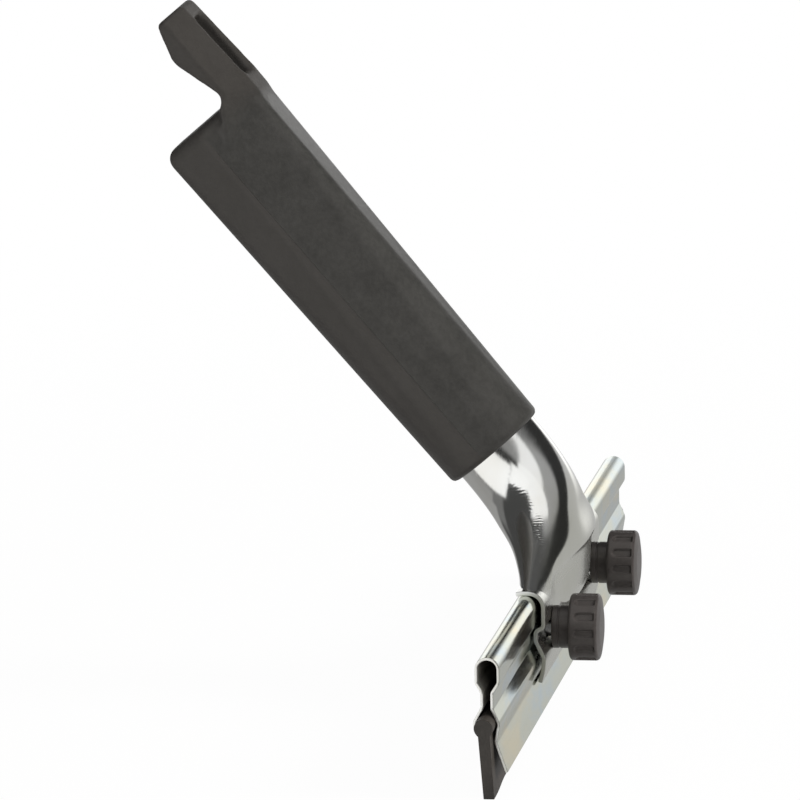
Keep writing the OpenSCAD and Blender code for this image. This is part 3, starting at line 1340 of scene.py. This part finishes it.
    def hook_gap(self) -> Piece:
        """Makes the space beside the hook.

        Returns:
            The solid that is cut away.
        """
        bm = bmesh.new()
        bent_wire(bm, self.gap_line, lambda y, z: Vector((-self.gap_half, y, self.length + z)))
        draw_out(bm, 2.0 * self.gap_half)
        return self.placed("hook_gap", bm)

    def recess(self) -> Piece:
        """Makes the round-cornered space in the front of the hook, with a sloping lip.

        Returns:
            The solid that is cut away.
        """
        bm = bmesh.new()
        middle = self.length + self.recess_at
        lip, spread = self.recess_lip - self.front, 2.0 * self.recess_lip
        loops = []
        for y, wider in ((self.recess_deep - self.front, 0.0), (lip, 0.0), (lip - spread, spread)):
            half_w, half_l = self.recess_w / 2.0 + wider, self.recess_len / 2.0 + wider
            ways = ((-1, -1), (1, -1), (1, 1), (-1, 1))
            corners = [Vector((x * half_w, y, middle + z * half_l)) for x, z in ways]
            loops.append(rounded_loop(bm, corners, [self.recess_r + wider] * len(ways)))
        return self.loft("hook_recess", bm, loops)

    def build(self, finish: Material) -> None:
        """Joins and softens the moulding, bores it for the neck and sets it in the frame.

        Args:
            finish: Material of the grip.
        """
        hook = self.hook_blank()
        join(hook, self.hook_gap(), Join.CUT)
        obj = self.handle()
        obj.name = "grip_moulding"
        join(obj, hook, Join.ADD)
        join(obj, self.recess(), Join.CUT)
        modify(obj, "REMESH", mode="VOXEL", voxel_size=self.grain * MM, adaptivity=0.0)
        modify(obj, "SMOOTH", factor=0.5, iterations=self.soften)
        settle(obj)
        start = LAYOUT.grip_space @ Vector((0.0, 0.0, -self.bore_lead))
        way = LAYOUT.grip_space.to_3x3() @ Axle.UP.value
        join(obj, rod("bore", start, way, self.bore_len + self.bore_lead, self.bore_r), Join.CUT)
        obj.data.materials.clear()
        obj.data.materials.append(finish)
        shade(obj, self.crease)
        hand_over(obj, "frame", "grip")


@dataclass
class Turned:
    """A part that is turned about the axis of one of the bolts."""

    side: Side

    @property
    def middle(self) -> Vector:
        """Where the axis passes the rail's middle."""
        return LAYOUT.at(0.0, LAYOUT.bolt_height, self.side.value * LAYOUT.bolt_x)

    def half_section(self, line: Sequence[Bend], steps: int) -> Mesh:
        """Draws the line that is turned.

        Args:
            line: Corners, by radius and forward distance.
            steps: Edges in each rounded corner.

        Returns:
            A mesh that holds the line.
        """
        bm = bmesh.new()
        x, height = self.middle.x, self.middle.z
        bent_wire(bm, line, lambda radius, forward: LAYOUT.at(forward, height, x + radius), steps)
        return bm

    def turn(self, bm: Mesh, steps: int) -> None:
        """Turns a half section into a solid.

        Args:
            bm: Mesh that holds the half section.
            steps: Faces round the solid.
        """
        bmesh.ops.spin(
            bm,
            geom=bm.edges[:] + bm.verts[:],
            cent=self.middle,
            axis=Axle.FORWARD.value,
            angle=2.0 * math.pi,
            steps=steps,
            use_merge=True,
        )
        close_up(bm)


@dataclass
class Knob(Turned):
    """A fluted thumb knob with its collar.

    Its line runs from the end of the bore along the insert's pocket, then along the collar and its
    groove, and last over the head to the top of the dome.
    """

    line: tuple[Bend, ...] = bends(
        (0.0, 15.15), (2.85, 15.15), (2.85, 14.59), (3.84, 14.59), (3.84, 6.51), (2.85, 6.51),
        (2.85, 5.05), (5.5, 5.05, 0.25), (5.5, 6.55, 0.1), (5.3, 6.65, 0.1), (5.3, 6.95, 0.1),
        (5.5, 7.05, 0.1), (5.5, 9.6, 0.25), (8.6, 9.6, 0.8), (8.6, 17.0, 0.9), (5.16, 17.602, 4.0),
        (0.0, 17.8),
    )
    radius: float = 8.6
    side_r: float = 8.0
    side_cuts: int = 22
    head_at: float = 9.6
    flutes: int = 12
    flute_half: float = 1.0
    flute_soft: float = 0.55
    flute_depth: float = 0.6
    flute_lead: float = 0.5
    flute_from: float = 2.8
    flute_end: float = 16.5
    rim: float = 1.6
    rim_soft: float = 1.2
    corner_steps: int = 5
    steps: int = 360
    crease: float = 50.0

    def flute_sink(self, turn: float, forward: float) -> float:
        """How far a point of the head's side is sunk by the flutes.

        Args:
            turn: Angle round the knob.
            forward: Distance forward of the rail's middle.

        Returns:
            The distance toward the knob's axis.
        """
        pitch = 2.0 * math.pi / self.flutes
        turn -= pitch * round(turn / pitch)
        short = max(0.0, self.head_at + self.flute_from - forward)
        away = math.hypot(self.radius * turn, short)
        sunk = smoother((self.flute_half + self.flute_soft / 2.0 - away) / self.flute_soft)
        return self.flute_depth * sunk * smoother((self.flute_end - forward) / self.flute_soft)

    def cut_side(self, bm: Mesh) -> None:
        """Divides the long straight side of the head, so that flutes can end on it.

        Args:
            bm: Mesh that holds the half section.
        """
        inside = self.middle.x + self.side_r
        outer = [e for e in bm.edges if min(v.co.x for v in e.verts) > inside]
        longest = max(outer, key=lambda e: e.calc_length())
        bmesh.ops.subdivide_edges(bm, edges=[longest], cuts=self.side_cuts)

    def flute(self, bm: Mesh) -> None:
        """Presses the flutes into the side of the head.

        Args:
            bm: Mesh of the turned knob.
        """
        x, height = self.middle.x, self.middle.z
        for v in bm.verts:
            forward = LAYOUT.rail_y - v.co.y
            across, up = v.co.x - x, v.co.z - height
            radius = math.hypot(across, up)
            share = smoother((radius - self.radius + self.rim) / self.rim_soft)
            if forward > self.head_at + self.flute_lead and share > 0.0:
                sunk = 1.0 - self.flute_sink(math.atan2(up, across), forward) * share / radius
                v.co.x, v.co.z = x + across * sunk, height + up * sunk

    def build(self, finish: Material) -> None:
        """Turns the knob, presses its flutes and sets it in the frame.

        Args:
            finish: Material of the knob.
        """
        bm = self.half_section(self.line, self.corner_steps)
        self.cut_side(bm)
        self.turn(bm, self.steps)
        self.flute(bm)
        obj = new_object(f"{self.side.named('knob')}_moulding", bm)
        obj.data.materials.append(finish)
        shade(obj, self.crease)
        hand_over(obj, self.side.named("knob_body"), self.side.named("knob"))


@dataclass
class Bolt(Turned):
    """A low-headed bolt that goes through the rail and the saddle from behind."""

    line: tuple[Bend, ...] = bends(
        (0.0, -5.0), (2.418, -4.928, 2.0), (3.9, -3.74, 0.4), (3.9, -3.2, 0.1), (2.5, -3.2),
        (2.5, 14.15), (2.0, 14.65), (0.0, 14.65),
    )
    corner_steps: int = 6
    steps: int = 64
    crease: float = 40.0

    def build(self, finish: Material) -> None:
        """Turns the bolt and sets it in the frame.

        Args:
            finish: Material of the bolt.
        """
        bm = self.half_section(self.line, self.corner_steps)
        self.turn(bm, self.steps)
        obj = new_object(f"{self.side.named('bolt')}_turned", bm)
        obj.data.materials.append(finish)
        shade(obj, self.crease)
        hand_over(obj, "frame", self.side.named("bolt"))


@dataclass
class Blade:
    """The rubber strip with its bead."""

    length: float = 259.99
    bead_r: float = 2.4
    bead_back: float = 0.45
    root_t: float = 3.0
    tip_t: float = 2.7
    edge_front: float = 0.7
    edge_r: float = 0.15
    bow: float = 0.8
    bow_run: float = 30.0
    corner_steps: int = 16
    cuts: int = 64
    crease: float = 40.0

    def flank(self, side: int) -> list[Bend]:
        """One side of the blade's outline, from its edge up to the top of the bead.

        Args:
            side: 1 for the front and -1 for the back.

        Returns:
            The corners of the outline.
        """
        middle = Vector((-self.bead_back, LAYOUT.bead_height))
        root = middle + Vector((side * self.root_t / 2.0, 0.0))
        tip = Vector((self.edge_front + side * self.tip_t / 2.0, 0.0))
        meet = next(p for p in intersect_line_sphere_2d(tip, root, middle, self.bead_r) if p)
        drop = math.asin((middle.y - meet.y) / self.bead_r) / 2.0
        reach = self.bead_r / math.cos(drop)
        low = middle + Vector((side * reach * math.cos(drop), -reach * math.sin(drop)))
        return [
            Bend(tip.x, tip.y),
            Bend(meet.x, meet.y),
            Bend(low.x, low.y, self.bead_r),
            Bend(middle.x + side * self.bead_r, middle.y + self.bead_r, self.bead_r),
        ]

    def bend(self, obj: Piece) -> None:
        """Lets the soft edge hang back a little between its two ends.

        Args:
            obj: The straight blade.
        """
        bm = bmesh.new()
        bm.from_mesh(obj.data)
        long = [e for e in bm.edges if e.calc_length() > self.length / 2.0 * MM]
        bmesh.ops.subdivide_edges(bm, edges=long, cuts=self.cuts)
        for v in bm.verts:
            low = max(0.0, 1.0 - v.co.z / MM / LAYOUT.bead_height)
            from_end = self.length / 2.0 - abs(v.co.x) / MM
            v.co.y += self.bow * MM * low * low * smoother(from_end / self.bow_run)
        bm.to_mesh(obj.data)
        bm.free()

    def build(self, finish: Material) -> None:
        """Draws the bead and the strip in one and sets them in the frame.

        Args:
            finish: Material of the blade.
        """
        bm = bmesh.new()
        line = self.flank(1) + self.flank(-1)[::-1]
        start = -self.length / 2.0
        bent_wire(bm, line, lambda forward, height: LAYOUT.at(forward, height, start), self.corner_steps)
        draw_out(bm, self.length)
        bmesh.ops.recalc_face_normals(bm, faces=bm.faces[:])
        obj = new_object("blade_strip", bm)
        obj.data.materials.append(finish)
        break_edges(obj, self.edge_r, clamp=True)
        self.bend(obj)
        shade(obj, self.crease)
        firm(obj)
        hand_over(obj, "blade_body", "blade")


@dataclass(frozen=True)
class FloorPaper(Finish):
    """White paper that shows the camera only a faint shadow near the object."""

    name: str = "floor_paper"
    paper: Colour = (0.9, 0.9, 0.9, 1.0)
    white: Colour = (1.0, 1.0, 1.0, 1.0)
    veil: float = 0.97
    clear_from: float = 0.15
    clear_to: float = 0.7

    def dress(self, g: Graph) -> None:
        """Mixes paper and plain white.

        Args:
            g: Graph of the material.
        """
        ray = g.node("ShaderNodeLightPath").outputs
        x, y, _ = g.split(g.here)
        far = ((x * x + y * y) ** 0.5).rising(self.clear_from, self.clear_to)
        paper = g.node("ShaderNodeBsdfDiffuse", inputs={"Color": self.paper})
        white = g.node("ShaderNodeEmission", inputs={"Color": self.white, "Strength": 1.0})
        seen = Value(g, ray["Is Camera Ray"]) * (self.veil + far * (1.0 - self.veil))
        both = g.node("ShaderNodeMixShader", inputs={0: seen, 1: paper.outputs[0], 2: white.outputs[0]})
        g.node("ShaderNodeOutputMaterial", inputs={"Surface": both.outputs[0]})


@dataclass(frozen=True)
class SoftBox:
    """A soft-edged patch of light round the studio.

    Its turn to the camera's right and its rise are in degrees, each with a start, an end and the width
    over which it fades outside them. A patch behind the object may count its turn on past 180.
    """

    level: float
    turn: Triple
    rise: Triple
    behind: bool = False


@dataclass(frozen=True)
class Panel:
    """A soft-edged panel overhead.

    It is placed to the camera's right and toward the camera, for each unit of height above the object.
    """

    level: float
    across: Triple
    near: Triple


@dataclass(frozen=True)
class Lamp:
    """A large soft lamp, at a turn to the camera's right and a rise in degrees."""

    name: str
    turn: float
    rise: float
    power: float
    size: float


def direction(azimuth: float, elevation: float) -> Vector:
    """Direction from the object at an angle round from its front and an angle up."""
    flat = math.cos(elevation)
    return Vector((math.sin(azimuth) * flat, -math.cos(azimuth) * flat, math.sin(elevation)))


@dataclass
class Studio:
    """Floor, light and camera at the photograph's viewing angle, in metres."""

    azimuth: float = math.radians(278.771)
    elevation: float = math.radians(11.070)
    roll: float = math.radians(-1.0716)
    distance: float = 2.244186
    target: Vector = field(default_factory=lambda: Vector((0.0, 0.04, 0.075)))
    target_px: tuple[float, float] = (401.535, 398.135)
    px_per_m: float = 3840.0
    image_px: float = 800.0
    sensor_mm: float = 36.0
    clip_end: float = 20.0
    floor_r_mm: float = 3000.0
    floor_z_mm: float = -0.05
    lamp_distance: float = 1.6
    lamp_colour: Triple = (1.0, 0.97, 0.93)
    lamp_list: tuple[Lamp, ...] = (
        Lamp("key_lamp", 84.0, 30.0, 26.5, 0.7),
        Lamp("fill_lamp", -60.0, 30.0, 3.0, 1.0),
    )
    boxes: tuple[SoftBox, ...] = (
        SoftBox(1.15, (-76.0, -10.0, 6.0), (-50.0, 14.5, 3.0)),
        SoftBox(1.15, (-41.0, -3.0, 4.0), (18.0, 56.0, 3.0)),
        SoftBox(1.0, (0.0, 52.0, 18.0), (31.0, 90.0, 5.0)),
        SoftBox(0.06, (140.0, 200.0, 12.0), (30.0, 60.0, 8.0), behind=True),
        SoftBox(0.13, (-125.0, -80.0, 15.0), (-20.0, 6.0, 6.0)),
        SoftBox(0.22, (-200.0, 200.0, 10.0), (-100.0, -20.0, 6.0)),
        SoftBox(0.26, (14.0, 68.0, 10.0), (-22.0, 24.0, 6.0)),
        SoftBox(0.75, (45.0, 112.0, 12.0), (-100.0, -14.0, 6.0)),
        SoftBox(0.3, (-150.0, -90.0, 10.0), (-100.0, -18.0, 6.0)),
        SoftBox(0.32, (-165.0, -114.0, 8.0), (-100.0, -12.0, 9.0)),
    )
    panels: tuple[Panel, ...] = (
        Panel(1.1, (-0.3, 0.3, 0.12), (-0.2, 1.85, 0.12)),
        Panel(0.36, (0.2, 1.15, 0.3), (-0.35, 1.9, 0.25)),
    )
    panel_rise: tuple[float, float] = (0.3, 0.4)
    panel_low: float = 0.05
    backdrop: SoftBox = SoftBox(0.57, (114.0, 192.0, 12.0), (-100.0, 11.8, 2.8), behind=True)
    sheen_turn: tuple[float, float] = (148.0, 156.0)
    sheen_rise: tuple[float, float] = (-9.0, 3.0)
    ambient: float = 0.035
    ambient_left: Triple = (-170.0, -30.0, 20.0)

    def axes(self) -> tuple[Vector, Vector, Vector]:
        """Finds the camera's directions before its roll.

        Returns:
            Its right, up and back.
        """
        back = direction(self.azimuth, self.elevation)
        right = Vector((math.cos(self.azimuth), math.sin(self.azimuth), 0.0))
        return right, back.cross(right), back

    def camera(self) -> None:
        """Makes the camera.

        Its shift sets the target at the pixel where the photo has it.
        """
        right, up, back = self.axes()
        c, s = math.cos(self.roll), math.sin(self.roll)
        turned = Matrix((right * c + up * s, up * c - right * s, back)).transposed().to_4x4()
        data = bpy.data.cameras.new("camera")
        data.sensor_width = self.sensor_mm
        data.lens = self.px_per_m * self.distance / self.image_px * self.sensor_mm
        data.shift_x = 0.5 - self.target_px[0] / self.image_px
        data.shift_y = self.target_px[1] / self.image_px - 0.5
        data.clip_end = self.clip_end
        obj = bpy.data.objects.new("camera", data)
        obj.matrix_world = Matrix.Translation(self.target + back * self.distance) @ turned
        bpy.context.scene.collection.objects.link(obj)
        bpy.context.scene.camera = obj

    def floor(self) -> None:
        """Makes the pale floor.

        It shows the object's shadow softly and isn't mirrored in the steel.
        """
        bm = bmesh.new()
        place = Matrix.Translation((0.0, 0.0, self.floor_z_mm))
        bmesh.ops.create_circle(bm, cap_ends=True, segments=96, radius=self.floor_r_mm, matrix=place)
        obj = new_object("floor", bm)
        obj.data.materials.append(FloorPaper().material())
        obj.visible_glossy = False

    def world(self) -> None:
        """Makes the world.

        The camera sees it white, and the steel mirrors its soft boxes.
        """
        world = bpy.data.worlds.new("studio")
        world.use_nodes = True
        bpy.context.scene.world = world
        g = Graph(world.node_tree)
        seen = Value(g, g.node("ShaderNodeLightPath").outputs["Is Camera Ray"])
        level = seen.maths("MAXIMUM", self.soft_boxes(g))
        white = g.node("ShaderNodeBackground", inputs={"Strength": level})
        g.node("ShaderNodeOutputWorld", inputs={"Surface": white.outputs[0]})

    def soft_boxes(self, g: Graph) -> Value:
        """Brightness of the studio in the direction that a mirrored ray takes.

        Args:
            g: Graph of the world.

        Returns:
            The brightness, where 1 is white.
        """
        right, _, back = self.axes()
        toward = Vector((back.x, back.y, 0.0)).normalized()
        x, y, z = g.split(g.node("ShaderNodeTexCoord").outputs["Generated"])
        sideways = x * right.x + y * right.y
        nearer = x * toward.x + y * toward.y
        turn = sideways.maths("ARCTAN2", nearer) * (180.0 / math.pi)
        rise = z.maths("ARCSINE") * (180.0 / math.pi)
        round_back = turn + 360.0 * turn.maths("LESS_THAN", -90.0)
        aloft = z.maths("MAXIMUM", self.panel_low)
        across, near = sideways / aloft, nearer / aloft
        high = z.rising(*self.panel_rise)
        sheen = rise.rising(*self.sheen_rise) * round_back.rising(*self.sheen_turn)
        back_patch = round_back.between(*self.backdrop.turn) * rise.between(*self.backdrop.rise)
        lit = back_patch * (self.backdrop.level + sheen)
        for box in self.boxes:
            way = round_back if box.behind else turn
            patch = box.level * way.between(*box.turn) * rise.between(*box.rise)
            lit = lit.maths("MAXIMUM", patch)
        for panel in self.panels:
            patch = panel.level * across.between(*panel.across) * near.between(*panel.near) * high
            lit = lit.maths("MAXIMUM", patch)
        return lit + (self.ambient + self.ambient * turn.between(*self.ambient_left))

    def lamps(self) -> None:
        """Makes the large soft lamps.

        They light the object without being mirrored in it.
        """
        for lamp in self.lamp_list:
            way = direction(self.azimuth + math.radians(lamp.turn), math.radians(lamp.rise))
            data = bpy.data.lights.new(lamp.name, "AREA")
            data.shape = "DISK"
            data.size = lamp.size
            data.energy = lamp.power
            data.color = self.lamp_colour
            obj = bpy.data.objects.new(lamp.name, data)
            obj.location = self.target + way * self.lamp_distance
            obj.rotation_mode = "QUATERNION"
            obj.rotation_quaternion = way.to_track_quat("Z", "Y")
            obj.visible_glossy = False
            bpy.context.scene.collection.objects.link(obj)

    def build(self) -> None:
        """Sets up the whole studio.

        Colours are shown as they are, without a film look.
        """
        bpy.context.scene.view_settings.view_transform = "Standard"
        self.camera()
        self.floor()
        self.world()
        self.lamps()
        LOG.info("studio is ready")


KNOB_PLASTIC = MouldedPlastic(
    "knob_plastic",
    dark=(0.038, 0.0335, 0.032, 1.0),
    pale=(0.06, 0.053, 0.051, 1.0),
    rough=0.36,
    grain=1100.0,
    grain_depth=0.00002,
)
BOLT_STEEL = TurnedMetal("bolt_steel", (0.6, 0.61, 0.62, 1.0), (0.45, 0.45, 0.43, 1.0), 0.3)
INSERT_BRASS = TurnedMetal("insert_brass", (0.7, 0.52, 0.24, 1.0), (0.5, 0.36, 0.16, 1.0), 0.35)


def main() -> None:
    """Builds and dresses every piece, then the studio.

    The inserts keep their CAD shape and only take a finish.
    """
    logging.basicConfig(level=logging.INFO, format="%(name)s: %(message)s")
    Rail().build()
    plated = PlatedSteel().material()
    Saddle().build(plated)
    Neck().build(plated)
    Grip().build(GripPlastic().material())
    plastic, steel, brass = (f.material() for f in (KNOB_PLASTIC, BOLT_STEEL, INSERT_BRASS))
    for side in Side:
        Knob(side).build(plastic)
        Bolt(side).build(steel)
        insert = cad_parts[side.named("insert")]
        insert.data.materials.clear()
        insert.data.materials.append(brass)
        LOG.info("%s keeps its CAD shape", insert.name)
    Blade().build(BladeRubber().material())
    Studio().build()


if __name__ == "__main__":
    main()
